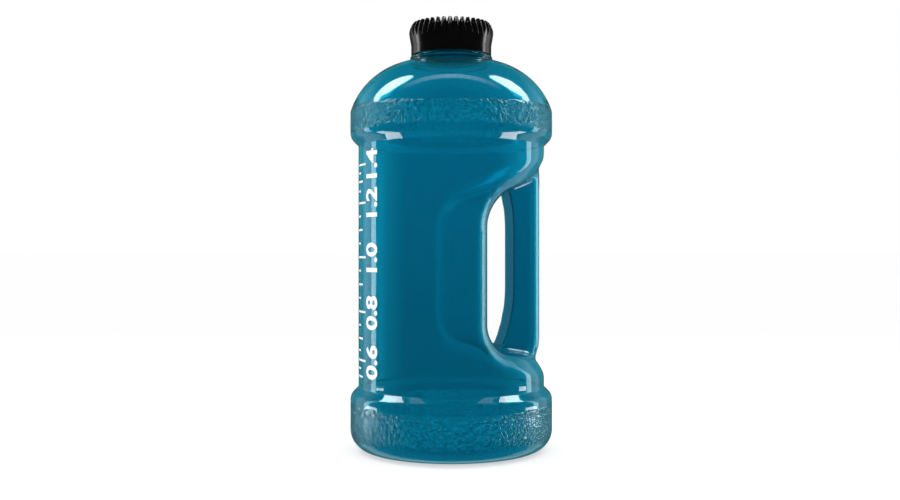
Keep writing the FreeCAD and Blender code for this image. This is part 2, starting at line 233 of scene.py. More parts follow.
def handle_bar(x, y, z):
    """Distance to the handle: flat inside at its middle, flaring towards its ends, and sinking outside."""
    along = np.abs(z - HANDLE_MIDDLE)
    bent = np.clip(along - HANDLE_FLAT, 0, HANDLE_FLARE * FLARE_PART)
    drop = np.sqrt(HANDLE_FLARE ** 2 - bent ** 2)
    inside = HANDLE_INSIDE - HANDLE_FLARE + drop
    outside = HANDLE_OUTSIDE - np.maximum(along - HANDLE_SINK_FROM, 0) ** 2 / HANDLE_SINK_RATE
    lean = HANDLE_FLARE / drop
    across = np.maximum((inside - x) / lean, x - outside)
    flank = np.abs(y) - HANDLE_HALF
    facet = HANDLE_FACET[0] * (x - outside) + HANDLE_FACET[1] * flank + HANDLE_FACET[2]
    return round_and(round_and(across, flank, HANDLE_EDGE), facet, FACET_EDGE)


def body_distance(points):
    """Signed distance in millimetres to the outside of the slotted body and its handle."""
    x, y, z = points[:, 0], points[:, 1], points[:, 2]
    return round_or(slotted_body(x, y, z), handle_bar(x, y, z), HANDLE_ROOT)


def slope_of(points, step=0.02):
    """Outward unit normal of the body's distance field."""
    sides = []
    for axis in range(3):
        shift = np.zeros(3)
        shift[axis] = step
        sides.append(body_distance(points + shift) - body_distance(points - shift))
    slope = np.stack(sides, axis=1)
    return slope / np.maximum(np.linalg.norm(slope, axis=1, keepdims=True), TINY)


def drop_onto_body(points, steps=4):
    """Moves points along the field's slope until they lie on the surface."""
    for _ in range(steps):
        points = points - slope_of(points) * body_distance(points)[:, None]
    return points


def filled_corners(inside):
    """How many corners of each grid cell are inside the body."""
    cells = np.zeros(tuple(n - 1 for n in inside.shape), dtype=int)
    for i in (0, 1):
        for j in (0, 1):
            for k in (0, 1):
                cells += inside[i:inside.shape[0] - 1 + i, j:inside.shape[1] - 1 + j,
                                k:inside.shape[2] - 1 + k]
    return cells


def grid_surface():
    """Quads of the body's middle, one corner for each grid cell that the surface crosses."""
    reach = math.ceil((BODY + 2 * CELL) / CELL) * CELL
    level_count = round((JOIN_HIGH - JOIN_LOW) / CELL)
    level_gap = (JOIN_HIGH - JOIN_LOW) / level_count
    flat = np.arange(-reach, reach + CELL / 2, CELL)
    levels = JOIN_LOW + level_gap * (np.arange(level_count + 2) - 0.5)
    grid = np.stack(np.meshgrid(flat, flat, levels, indexing="ij"), axis=-1)
    inside = (body_distance(grid.reshape(-1, 3)) < 0).reshape(grid.shape[:3])
    cells = filled_corners(inside)
    crossed = (cells > 0) & (cells < CELL_CORNERS)
    number = np.full(crossed.shape, -1)
    number[crossed] = np.arange(crossed.sum())
    centres = (grid[:-1, :-1, :-1] + grid[1:, 1:, 1:]) / 2
    quads = []
    for axis in range(3):
        first, second = [other for other in range(3) if other != axis]
        if axis == 1:
            first, second = second, first
        ahead = np.roll(inside, -1, axis=axis)
        for leaving in (True, False):
            at = np.argwhere(inside & ~ahead if leaving else ~inside & ahead)
            room = (at[:, axis] < inside.shape[axis] - 1) & (at[:, first] > 0) & (at[:, second] > 0)
            room &= (at[:, first] < inside.shape[first] - 1) & (at[:, second] < inside.shape[second] - 1)
            at = at[room]
            ring = []
            for back_first, back_second in ((0, 0), (1, 0), (1, 1), (0, 1)):
                cell = at.copy()
                cell[:, first] -= back_first
                cell[:, second] -= back_second
                ring.append(number[cell[:, 0], cell[:, 1], cell[:, 2]])
            ring = np.stack(ring, axis=1)
            quads.append(ring if leaving else ring[:, ::-1])
    return centres[crossed], np.concatenate(quads)


def rim_points(quads, count):
    """Which corners are on the open edges of a quad mesh, and all its edges."""
    sides = np.sort(np.concatenate([quads[:, [i, (i + 1) % 4]] for i in range(4)]), axis=1)
    edges, uses = np.unique(sides, axis=0, return_counts=True)
    on_rim = np.zeros(count, dtype=bool)
    on_rim[edges[uses == 1].ravel()] = True
    return on_rim, edges


def relax(points, quads, rounds=14, pull=0.6):
    """Evens out the corners over the surface and keeps the two open rims on their levels."""
    on_rim, edges = rim_points(quads, len(points))
    top = points[:, 2] > (JOIN_LOW + JOIN_HIGH) / 2
    for _ in range(rounds):
        total = np.zeros_like(points)
        uses = np.zeros(len(points))
        for a, b in ((0, 1), (1, 0)):
            rim_pull = on_rim[edges[:, a]] & ~on_rim[edges[:, b]]
            kept = edges[~rim_pull]
            np.add.at(total, kept[:, a], points[kept[:, b]])
            np.add.at(uses, kept[:, a], 1)
        points = points + pull * (total / np.maximum(uses, 1)[:, None] - points)
        points[on_rim, 2] = np.where(top[on_rim], JOIN_HIGH, JOIN_LOW)
        points = drop_onto_body(points, 2)
    points[on_rim, 2] = np.where(top[on_rim], JOIN_HIGH, JOIN_LOW)
    radius = np.hypot(points[on_rim, 0], points[on_rim, 1])
    points[on_rim, :2] *= (BODY / radius)[:, None]
    return points, on_rim


# ------------------------------------------------------------------ turned outlines

def arc(centre_r, centre_z, radius, first, last, step):
    """Points of an arc in the (radius, height) half plane; angles in degrees from +r towards +z."""
    count = max(3, math.ceil(abs(math.radians(last - first)) * radius / step) + 1)
    turn = np.radians(np.linspace(first, last, count))
    return np.stack([centre_r + radius * np.cos(turn), centre_z + radius * np.sin(turn)], axis=1)


def soften(corners, step, corner_points=5):
    """Points along straight runs whose corners (r, z, radius) are rounded."""
    out = []
    last = len(corners) - 1
    for number, (r, z, radius) in enumerate(corners):
        here = np.array([r, z], dtype=float)
        if radius == 0 or number in (0, last):
            out.append(here)
            continue
        back = np.array(corners[number - 1][:2], dtype=float) - here
        ahead = np.array(corners[number + 1][:2], dtype=float) - here
        back /= np.linalg.norm(back)
        ahead /= np.linalg.norm(ahead)
        half = math.acos(np.clip(back @ ahead, -1, 1)) / 2
        reach = radius / math.tan(half)
        centre = here + (back + ahead) / np.linalg.norm(back + ahead) * radius / math.sin(half)
        start = here + back * reach - centre
        end = here + ahead * reach - centre
        for share in np.linspace(0, 1, corner_points):
            spoke = start * (1 - share) + end * share
            out.append(centre + spoke / np.linalg.norm(spoke) * radius)
    return divide(np.array(out), step)


def divide(path, step, slack=1e-6):
    """Splits every run of a path that is longer than step."""
    out = [path[0]]
    for start, end in zip(path[:-1], path[1:]):
        count = max(1, math.ceil(np.linalg.norm(end - start) / step - slack))
        out += [start + (end - start) * n / count for n in range(1, count + 1)]
    return np.array(out)


def every_second(path):
    """Every second point of a path, with its first and its last."""
    numbers = np.arange(len(path) - 1, -1, -2)
    return path[np.union1d(numbers, [0])]


def chain(*paths, same=1e-4):
    """Joins paths end to start and drops doubled points."""
    whole = np.concatenate(paths)
    kept = np.ones(len(whole), dtype=bool)
    kept[1:] = np.linalg.norm(np.diff(whole, axis=0), axis=1) > same
    return whole[kept]


def path_sides(path):
    """Unit normals on the right-hand side of a path, seen along it."""
    runs = np.diff(path, axis=0)
    runs /= np.linalg.norm(runs, axis=1, keepdims=True)
    ahead = np.vstack([runs, runs[-1:]]) + np.vstack([runs[:1], runs])
    ahead /= np.maximum(np.linalg.norm(ahead, axis=1, keepdims=True), TINY)
    return np.stack([ahead[:, 1], -ahead[:, 0]], axis=1)


class Skin:
    """Collects rings of corners with their normals, and the faces between them."""

    def __init__(self):
        self.points, self.normals, self.faces, self.count = [], [], [], 0

    def add(self, points, normals):
        """Corners of one more ring or patch. Returns their numbers."""
        self.points.append(np.asarray(points, dtype=float))
        self.normals.append(np.asarray(normals, dtype=float))
        numbers = np.arange(self.count, self.count + len(points))
        self.count += len(points)
        return numbers

    def bridge(self, before, after):
        """Faces between two rings. Either may be a single corner, and the counts may differ."""
        if len(before) == 1:
            self.faces += [(int(before[0]), int(b), int(a)) for a, b in zip(after, np.roll(after, -1))]
        elif len(after) == 1:
            self.faces += [(int(a), int(b), int(after[0])) for a, b in zip(before, np.roll(before, -1))]
        elif len(before) == len(after):
            rows = np.stack([before, np.roll(before, -1), np.roll(after, -1), after], axis=1)
            self.faces += [tuple(row) for row in rows.tolist()]
        else:
            self.zip_rings(before, after)

    def zip_rings(self, before, after):
        """Triangles between two rings whose corners run once around the axis from the same side."""
        whole = np.concatenate(self.points)
        turns = []
        for ring in (before, after):
            turn = np.unwrap(np.arctan2(whole[ring, 1], whole[ring, 0]))
            turns.append(np.append(turn, turn[0] + 2 * math.pi))
        i = j = 0
        while i < len(before) or j < len(after):
            step_before = j >= len(after) or (i < len(before) and turns[0][i + 1] <= turns[1][j + 1])
            a, b = int(before[i % len(before)]), int(after[j % len(after)])
            if step_before:
                self.faces.append((a, int(before[(i + 1) % len(before)]), b))
                i += 1
            else:
                self.faces.append((a, int(after[(j + 1) % len(after)]), b))
                j += 1

    def turn(self, path, columns, relief=None, before=None):
        """Turns a path around the axis. relief(turn, path) gives each corner's height above the path."""
        sides = path_sides(path)
        turn = 2 * math.pi * np.arange(columns) / columns
        cos, sin = np.cos(turn), np.sin(turn)
        raised = np.zeros((len(path), columns)) if relief is None else relief(turn, path)
        r = path[:, 0, None] + sides[:, 0, None] * raised
        z = path[:, 1, None] + sides[:, 1, None] * raised
        along = np.concatenate([[0], np.cumsum(np.linalg.norm(np.diff(path, axis=0), axis=1))])
        rise = np.gradient(raised, along, axis=0) if len(path) > 2 else np.zeros_like(raised)
        spin = (np.roll(raised, -1, axis=1) - np.roll(raised, 1, axis=1)) / (4 * math.pi / columns)
        spin /= np.maximum(path[:, 0, None], 1.0)
        out_r = sides[:, 0, None] + sides[:, 1, None] * rise
        out_z = sides[:, 1, None] - sides[:, 0, None] * rise
        normals = np.stack([out_r * cos + spin * sin, out_r * sin - spin * cos, out_z], axis=2)
        normals /= np.linalg.norm(normals, axis=2, keepdims=True)
        points = np.stack([r * cos, r * sin, z], axis=2)
        for row, (radius, height) in enumerate(path):
            if radius < CLOSE / 10:
                ring = self.add([[0, 0, height]], [[0, 0, math.copysign(1, sides[row, 1])]])
            else:
                ring = self.add(points[row], normals[row])
            if before is not None:
                self.bridge(before, ring)
            before = ring
        return before

    def patch(self, points, normals, quads):
        """A free-form sheet of quads. Returns its corners' numbers."""
        numbers = self.add(points, normals)
        self.faces += [tuple(row) for row in numbers[quads].tolist()]
        return numbers

    def finish(self, name, body, node, material):
        """Makes the piece, which rides on a body and stands for a CAD node."""
        mesh = bpy.data.meshes.new(name)
        points = np.concatenate(self.points) * MM
        mesh.from_pydata(points.tolist(), [], self.faces)
        mesh.polygons.foreach_set("use_smooth", [True] * len(mesh.polygons))
        mesh.normals_split_custom_set_from_vertices(np.concatenate(self.normals).tolist())
        mesh.materials.append(material)
        piece = bpy.data.objects.new(name, mesh)
        bpy.context.scene.collection.objects.link(piece)
        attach(piece, body)
        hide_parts(node)
        return piece


def ring_order(points, numbers):
    """Numbers of a ring's corners, sorted once around the axis."""
    return numbers[np.argsort(np.arctan2(points[numbers, 1], points[numbers, 0]) % (2 * math.pi))]


# ------------------------------------------------------------------ reliefs

def ease(value, low, high):
    """Rises smoothly from 0 at low to 1 at high."""
    share = np.clip((value - low) / (high - low), 0, 1)
    return share * share * (3 - 2 * share)


def pebble_at(spot):
    """Height of the grain at a place: rounded, drawn-out pebbles of uneven height with narrow valleys."""
    drift = noise.noise_vector(spot * SLOW) * SLOW_DRIFT + noise.noise_vector(spot * QUICK) * QUICK_DRIFT
    near = noise.voronoi(spot + drift)[0]
    valley = min(1.0, (near[1] - near[0]) / PEBBLE_VALLEY)
    return valley * (2 - valley) * (PEBBLE_MIDDLE + PEBBLE_UNEVEN * noise.noise(spot * PATCHES))


def pebbles(turn, path, levels):
    """Hammered grain between the levels where it starts, is full, starts to fade and ends."""
    start, full, fading, end = levels
    out = np.zeros((len(path), len(turn)))
    for row, (r, z) in enumerate(path):
        share = float(ease(z, start, full) * (1 - ease(z, fading, end)))
        if share == 0:
            continue
        for column, angle in enumerate(turn):
            spot = Vector((r * math.cos(angle), r * math.sin(angle), z)) / PEBBLE_SIZE
            out[row, column] = share * PEBBLE_HEIGHT * (pebble_at(spot) - PEBBLE_LEVEL)
    return out


def thread(turn, path, start):
    """Height of a right-handed trapezoid thread whose middle starts at angle 0 and height start."""
    out = np.zeros((len(path), len(turn)))
    turns = THREAD_CLIMB / LEAD
    for lap in range(math.ceil(turns) + 1):
        along = turn / (2 * math.pi) + lap
        fade = np.clip(along / THREAD_FADE, 0, 1) * np.clip((turns - along) / THREAD_FADE, 0, 1)
        off = np.abs(path[:, 1, None] - (start + LEAD * along)[None, :])
        flank = np.clip((THREAD_FOOT_HALF - off) / THREAD_FLANK, 0, 1)
        out = np.maximum(out, flank * THREAD_HEIGHT * fade[None, :])
    return out


# ------------------------------------------------------------------ node helpers

def material(name):
    """A new material, its node tree and its shader."""
    made = bpy.data.materials.new(name)
    made.use_nodes = True
    return made, made.node_tree, made.node_tree.nodes["Principled BSDF"]


def add_node(tree, kind, inputs=None, **settings):
    """A new node. A socket among its inputs is linked, and any other value is set."""
    node = tree.nodes.new(kind)
    for key, value in settings.items():
        setattr(node, key, value)
    for key, value in (inputs or {}).items():
        if isinstance(value, bpy.types.NodeSocket):
            tree.links.new(value, node.inputs[key])
        else:
            node.inputs[key].default_value = value
    return node


def object_place(tree):
    return add_node(tree, "ShaderNodeTexCoord").outputs["Object"]


def height_of(tree, vector):
    return add_node(tree, "ShaderNodeSeparateXYZ", {"Vector": vector}).outputs["Z"]


def combine(tree, operation, first, second=0):
    """A sum worked out on one or two values."""
    return add_node(tree, "ShaderNodeMath", {0: first, 1: second}, operation=operation).outputs[0]


def move(tree, operation, first, second=(0, 0, 0)):
    """A sum worked out on one or two vectors."""
    return add_node(tree, "ShaderNodeVectorMath", {0: first, 1: second}, operation=operation)


def spread(tree, value, from_low, from_high, to_low, to_high):
    """Maps a value to a range, clamped."""
    node = add_node(tree, "ShaderNodeMapRange", {"Value": value, "From Min": from_low, "From Max": from_high,
                                                 "To Min": to_low, "To Max": to_high})
    return node.outputs["Result"]


def clouds(tree, place, scale, detail):
    """Soft noise. Its Fac is a value and its Color a vector."""
    return add_node(tree, "ShaderNodeTexNoise", {"Vector": place, "Scale": scale, "Detail": detail})


def cells(tree, place, scale):
    """Distance to the middle of small irregular cells."""
    return add_node(tree, "ShaderNodeTexVoronoi", {"Vector": place, "Scale": scale}).outputs["Distance"]


def blend(tree, share, first, second):
    """A colour between two colours."""
    inputs = {"Factor": share, "A": first, "B": second}
    return add_node(tree, "ShaderNodeMix", inputs, data_type="RGBA").outputs["Result"]


def bumps(tree, height, strength, distance, under=None):
    """Normal of a bumpy surface, on top of another such normal where one is given."""
    node = add_node(tree, "ShaderNodeBump", {"Height": height, "Strength": strength, "Distance": distance})
    if under is not None:
        tree.links.new(under, node.inputs["Normal"])
    return node.outputs["Normal"]


def feed(tree, shader, colour, roughness, normal):
    """Links what varies over the surface to the shader."""
    tree.links.new(colour, shader.inputs["Base Color"])
    tree.links.new(roughness, shader.inputs["Roughness"])
    tree.links.new(normal, shader.inputs["Normal"])


# ------------------------------------------------------------------ materials

TEAL_DEEP = (0.005, 0.345, 0.490, 1)
TEAL_CLEAR = (0.008, 0.375, 0.520, 1)
# The pale teal below is used for the grain's thin spots and for a painted highlight towards the wall's
# outline.
TEAL_THIN_AND_HIGHLIGHT = (0.03, 0.64, 0.79, 1)
LOWER_MATT = (8.0, 12.0, 28.5, 30.5)
UPPER_MATT = (197.5, 199.5, 211.5, 213.0)
# Where the painted edge highlight is cut back: below the upper band and within the slot's reach it keeps
# SLOT_HIGHLIGHT_SHARE, which paints shade in the slot, and on level faces it keeps LEVEL_SHARE.
UPPER_PART = (188.0, 192.0)
SLOT_REACH = (44.0, 52.0)
SLOT_HIGHLIGHT_SHARE = 0.25
EDGE_ON = (0.14, 0.40)
LEVEL = (0.5, 0.95)
LEVEL_SHARE = 0.15
GRAIN_DRIFT = (0.0014, 0.0014, 0.0014)
GRAIN_BUMP = (0.36, 0.64)
GRAIN_THIN = (0.38, 0.62)
THIN_SHARE = 0.9
GRAIN_MATT = 0.03
MIDDLE = (0.3, 0.7)


def band_mask(tree, height, levels):
    """1 on a grained band and 0 off it, between the levels where it starts, is full, fades and ends."""
    start, full, fading, end = [level * MM for level in levels]
    return combine(tree, "MULTIPLY", spread(tree, height, start, full, 0, 1),
                   spread(tree, height, fading, end, 1, 0))


def painted_edge_highlight(tree, place, height):
    """Share of painted highlight: high where the wall is seen edge on, cut back on level faces, and cut back
    in the slot, which paints shade there.
    """
    facing = add_node(tree, "ShaderNodeLayerWeight", {"Blend": 0.5}).outputs["Facing"]
    normal = add_node(tree, "ShaderNodeNewGeometry").outputs["Normal"]
    level = combine(tree, "ABSOLUTE", height_of(tree, normal))
    edge_highlight_share = combine(tree, "MULTIPLY", spread(tree, facing, *EDGE_ON, 0.0, 1.0),
                   spread(tree, level, *LEVEL, 1.0, LEVEL_SHARE))
    flat = move(tree, "MULTIPLY", place, (1, 1, 0)).outputs["Vector"]
    radius = move(tree, "LENGTH", flat).outputs["Value"]
    # The slot below the upper band gets less of the painted highlight, which is painted shade there.
    above_slot = spread(tree, height, UPPER_PART[0] * MM, UPPER_PART[1] * MM, 0.0, 1.0)
    outside_slot = spread(tree, radius, SLOT_REACH[0] * MM, SLOT_REACH[1] * MM, SLOT_HIGHLIGHT_SHARE, 1.0)
    return combine(tree, "MULTIPLY", edge_highlight_share, combine(tree, "MAXIMUM", above_slot, outside_slot))


def see_through_plastic():
    """Teal plastic, paler in the grain's thin spots, with a painted highlight that pales it towards its
    outline, and with slow waves and scuffs.
    """
    made, tree, shader = material("see_through_teal")
    place = object_place(tree)
    height = height_of(tree, place)
    band = combine(tree, "MAXIMUM", band_mask(tree, height, LOWER_MATT), band_mask(tree, height, UPPER_MATT))
    warp = clouds(tree, place, scale=260.0, detail=1.0).outputs["Color"]
    drift = move(tree, "MULTIPLY", warp, GRAIN_DRIFT)
    spot = move(tree, "ADD", place, drift.outputs["Vector"]).outputs["Vector"]
    grain = clouds(tree, spot, scale=620.0, detail=1.0).outputs["Fac"]
    pebble = combine(tree, "MULTIPLY", spread(tree, grain, *GRAIN_BUMP, 0.0, 1.0), band)
    thin = combine(tree, "MULTIPLY", spread(tree, grain, *GRAIN_THIN, 0.0, THIN_SHARE), band)
    tone = blend(tree, clouds(tree, place, scale=14.0, detail=3.0).outputs["Fac"], TEAL_DEEP, TEAL_CLEAR)
    # Paler where the grain is thin, and a painted highlight where the wall is seen edge on.
    thin_spots_and_highlight = combine(tree, "MAXIMUM", painted_edge_highlight(tree, place, height), thin)
    colour = blend(tree, thin_spots_and_highlight, tone, TEAL_THIN_AND_HIGHLIGHT)
    scuffs = clouds(tree, place, scale=90.0, detail=4.0).outputs["Fac"]
    scuffs = spread(tree, scuffs, 0.35, 0.75, to_low=0.015, to_high=0.05)
    roughness = combine(tree, "ADD", combine(tree, "MULTIPLY", band, GRAIN_MATT), scuffs)
    flow = clouds(tree, place, scale=38.0, detail=2.0).outputs["Fac"]
    waves = bumps(tree, flow, strength=0.25, distance=0.0004)
    feed(tree, shader, colour, roughness, bumps(tree, pebble, strength=0.8, distance=0.0005, under=waves))
    shader.inputs["Transmission Weight"].default_value = 0.94
    shader.inputs["IOR"].default_value = 1.5
    return made


def black_plastic():
    """Glossy black moulding with fine grain and slightly uneven gloss."""
    made, tree, shader = material("gloss_black")
    place = object_place(tree)
    broad = clouds(tree, place, scale=60.0, detail=4.0).outputs["Fac"]
    colour = blend(tree, broad, (0.0008, 0.0008, 0.0009, 1), (0.0022, 0.0022, 0.0024, 1))
    fine = clouds(tree, place, scale=900.0, detail=3.0).outputs["Fac"]
    grain = bumps(tree, fine, strength=0.12, distance=0.0001)
    feed(tree, shader, colour, spread(tree, broad, *MIDDLE, to_low=0.11, to_high=0.22), grain)
    shader.inputs["IOR"].default_value = 1.7
    return made


def white_ink():
    """Screen-printed ink with a faint mesh pattern and uneven cover."""
    made, tree, shader = material("white_ink")
    place = object_place(tree)
    cover = clouds(tree, place, scale=120.0, detail=5.0).outputs["Fac"]
    colour = blend(tree, cover, (0.80, 0.85, 0.87, 1), (0.93, 0.95, 0.96, 1))
    screen = bumps(tree, cells(tree, place, scale=1800.0), strength=0.15, distance=0.00005)
    feed(tree, shader, colour, spread(tree, cover, *MIDDLE, to_low=0.38, to_high=0.55), screen)
    return made


def soft_liner():
    """Pale foam with fine closed cells."""
    made, tree, shader = material("soft_liner")
    place = object_place(tree)
    cover = clouds(tree, place, scale=200.0, detail=4.0).outputs["Fac"]
    colour = blend(tree, cover, (0.66, 0.67, 0.66, 1), (0.78, 0.79, 0.77, 1))
    foam = bumps(tree, cells(tree, place, scale=1500.0), strength=0.3, distance=0.0001)
    feed(tree, shader, colour, spread(tree, cover, *MIDDLE, to_low=0.55, to_high=0.75), foam)
    shader.inputs["Subsurface Weight"].default_value = 0.15
    shader.inputs["Subsurface Radius"].default_value = (0.002, 0.002, 0.002)
    return made


# ------------------------------------------------------------------ bottle

def lower_outline(inset, step):
    """From the middle of the pushed-up base round the foot to the top of the lower step."""
    foot = BAND - FOOT_CORNER
    foot_in = foot - FOOT_WIDTH
    push_r = (foot_in - FOOT_CORNER * math.sin(PUSH_SLOPE)) / math.sin(PUSH_SLOPE)
    push_top = (FOOT_CORNER + push_r) * (1 - math.cos(PUSH_SLOPE))
    slope = math.degrees(PUSH_SLOPE)
    step_top = LOWER_BAND_TOP + STEP_RISE
    return chain(
        arc(0, push_top - push_r, push_r + inset, 90, 90 - slope, step * 2.5),
        arc(foot_in, FOOT_CORNER, FOOT_CORNER - inset, -90 - slope, -90, step),
        arc(foot, FOOT_CORNER, FOOT_CORNER - inset, -90, 0, step),
        divide(np.array([[BAND - inset, FOOT_CORNER], [BAND - inset, LOWER_BAND_TOP]]), step),
        arc(BAND - STEP_OUTER, LOWER_BAND_TOP, STEP_OUTER - inset, 0, STEP_SLOPE, step / 2),
        arc(BODY + STEP_INNER, step_top, STEP_INNER + inset, 180 + STEP_SLOPE, 180, step / 3))


def upper_outline(inset, step):
    """From the bottom of the upper step over the band and the dome to the collar."""
    dome_r = BAND - DOME * math.cos(DOME_LEAN)
    dome_z = SHOULDER - DOME * math.sin(DOME_LEAN)
    dome = DOME - inset
    from_r = dome_r + dome * math.cos(DOME_LEAN * DOME_FROM)
    from_z = dome_z + dome * math.sin(DOME_LEAN * DOME_FROM)
    dome_end = math.degrees(math.acos((COLLAR - inset * COLLAR_INSET - dome_r) / dome))
    step_top = BODY_TOP + STEP_RISE
    shoulder = [(BAND - inset, step_top, 0), (BAND - inset, SHOULDER, SHOULDER_CORNER), (from_r, from_z, 0)]
    return chain(
        arc(BODY + STEP_INNER, BODY_TOP, STEP_INNER + inset, 180, 180 - STEP_SLOPE, step / 3),
        arc(BAND - STEP_OUTER, step_top, STEP_OUTER - inset, -STEP_SLOPE, 0, step / 2),
        soften(shoulder, step),
        arc(dome_r, dome_z, dome, math.degrees(DOME_LEAN) * DOME_FROM, dome_end, step * 2))


def neck_outline(collar_height):
    """From the collar over the ring, the neck and the lip down the bore to the throat."""
    return soften([(COLLAR, collar_height, 0), (COLLAR, RING_BOTTOM, 0.3), (RING, RING_BOTTOM, 0.3),
                   (RING, RING_TOP, 0.3), (NECK, RING_TOP, 0.5), (NECK, LIP, 0.45), (BORE, LIP, 0.4),
                   (BORE, RING_TOP, BORE_CORNER), (THROAT, collar_height - WALL, 0)], NECK_STEP)


def low_grain(turn, path):
    return pebbles(turn, path, LOWER_PEBBLES)


def high_grain(turn, path):
    return pebbles(turn, path, UPPER_PEBBLES)


def neck_thread(turn, path):
    return thread(turn, path, NECK_THREAD_START) * (path[:, 0, None] < NECK + CLOSE)


def make_bottle():
    """One skin: up the outside, over the lip, and down the inside of the wall."""
    skin = Skin()
    low = lower_outline(0, OUTSIDE_STEP)
    first = np.argmax((low[:, 1] > GRAIN_FROM) & (low[:, 0] > BAND - FOOT_CORNER))
    last = np.flatnonzero(low[:, 0] > BAND - CLOSE)[-1]
    ring = skin.turn(divide(every_second(low[:first + 1]), PUSH_STEP), SMOOTH_COLUMNS)
    ring = skin.turn(low[first + 1:last + 1], GRAIN_COLUMNS, low_grain, ring)
    ring = skin.turn(low[last + 1:], STEP_COLUMNS, None, ring)

    points, quads = grid_surface()
    points, on_rim = relax(drop_onto_body(points), quads)
    normals = slope_of(points)
    normals[on_rim, 2] = 0
    normals /= np.linalg.norm(normals, axis=1, keepdims=True)
    inner = points - normals * WALL
    inner[on_rim, 2] = points[on_rim, 2]
    middle = (JOIN_LOW + JOIN_HIGH) / 2
    low_rim, high_rim = [ring_order(points, np.flatnonzero(on_rim & side))
                         for side in (points[:, 2] < middle, points[:, 2] > middle)]
    outside = skin.patch(points, normals, quads)
    skin.bridge(ring, outside[low_rim])

    high = upper_outline(0, OUTSIDE_STEP)
    first = np.argmax(high[:, 0] > BAND - CLOSE)
    last = np.argmax(high[:, 1] > GRAIN_TO)
    ring = skin.turn(high[:first], STEP_COLUMNS, None, outside[high_rim])
    ring = skin.turn(high[first:last], GRAIN_COLUMNS, high_grain, ring)
    ring = skin.turn(high[last:], SMOOTH_COLUMNS, None, ring)
    neck = neck_outline(high[-1, 1])
    over_lip = np.argmax((neck[:, 0] < NECK - 0.2) & (neck[:, 1] > LIP - 0.6))
    ring = skin.turn(neck[1:over_lip], SMOOTH_COLUMNS, neck_thread, ring)
    ring = skin.turn(neck[over_lip:-1], INSIDE_COLUMNS, None, ring)

    ring = skin.turn(upper_outline(WALL, INSIDE_STEP)[::-1], INSIDE_COLUMNS, None, ring)
    inside = skin.patch(inner, -normals, quads[:, ::-1])
    skin.bridge(ring, inside[high_rim])
    skin.turn(lower_outline(WALL, INSIDE_STEP)[::-1], INSIDE_COLUMNS, None, inside[low_rim])
    return skin.finish("bottle_shell", "jug", "bottle", see_through_plastic())


# ------------------------------------------------------------------ cap

def cap_outline():
    """From the middle of the seat's roof down the bore, up the outside and into the dished crown."""
    inside = [(0, SEAT_ROOF, 0), (SEAT, SEAT_ROOF, 0.2), (SEAT, BEAD_HIGH, 0),
              (BEAD, BEAD_HIGH - BEAD_SLOPE, 0), (BEAD, BEAD_LOW + BEAD_SLOPE, 0), (SEAT, BEAD_LOW, 0),
              (SEAT, SEAT_BOTTOM, 0), (CAP_BORE, CAP_BORE_TOP, 0), (CAP_BORE, CAP_BOTTOM, 0.35),
              (CAP_SKIRT, CAP_BOTTOM, 0.35), (CAP_SKIRT, CAP_SKIRT_TOP, 2), (CAP_WIDEST, CAP_WIDEST_AT, 0)]
    across = CAP_WIDEST - CAP_TOP_EDGE
    up = CAP_TOP - CAP_WIDEST_AT
    bend = (up * up + across * across) / (2 * across)
    edge = arc(CAP_WIDEST - bend, CAP_WIDEST_AT, bend, 0, math.degrees(math.asin(up / bend)), CROWN_STEP)
    crown = [(CAP_TOP_EDGE, CAP_TOP, 0), (CAP_DISH, CAP_TOP, 0), (CAP_DISH, CAP_CROWN, 0.6),
             (0, CAP_CROWN, 0)]
    return chain(soften(inside, CAP_STEP), edge, soften(crown, CROWN_STEP))


def bore_thread(turn, path):
    on_bore = (path[:, 0] < CAP_BORE + 0.02) & (path[:, 1] < CAP_BORE_TOP + 0.1)
    on_wall = on_bore & (path[:, 1] > CAP_BOTTOM + 0.4)
    return thread(turn, path, CAP_THREAD_START) * on_wall[:, None]


def fluted_ring(r, z, turn):
    """A ring of the cap's outside, pushed in where the flutes' leaning wedges cut it."""
    pitch = 2 * math.pi / FLUTES
    off = (turn + pitch / 2) % pitch - pitch / 2
    side_r, side_z = math.cos(FLUTE_LEAN), math.sin(FLUTE_LEAN)
    tip = CAP_WIDEST + np.abs(r * np.sin(off)) / math.tan(FLUTE_HALF_ANGLE)
    depth = (r - tip) * side_r + (z - FLUTE_START) * side_z
    eased = (depth + FLUTE_SMOOTH) ** 2 / (4 * FLUTE_SMOOTH)
    cut = np.where(depth > FLUTE_SMOOTH, depth, np.where(depth < -FLUTE_SMOOTH, 0, eased))
    past_dish = CAP_DISH - (r - side_r * cut)
    slide = np.where((past_dish > 0) & (cut > 0), past_dish, 0)
    cut_r = r - side_r * cut + slide
    cut_z = z - side_z * cut - slide / math.tan(FLUTE_LEAN)
    cut_z = np.maximum(cut_z, np.minimum(z, FLUTE_FLOOR))
    return np.stack([cut_r * np.cos(turn), cut_r * np.sin(turn), cut_z], axis=1)


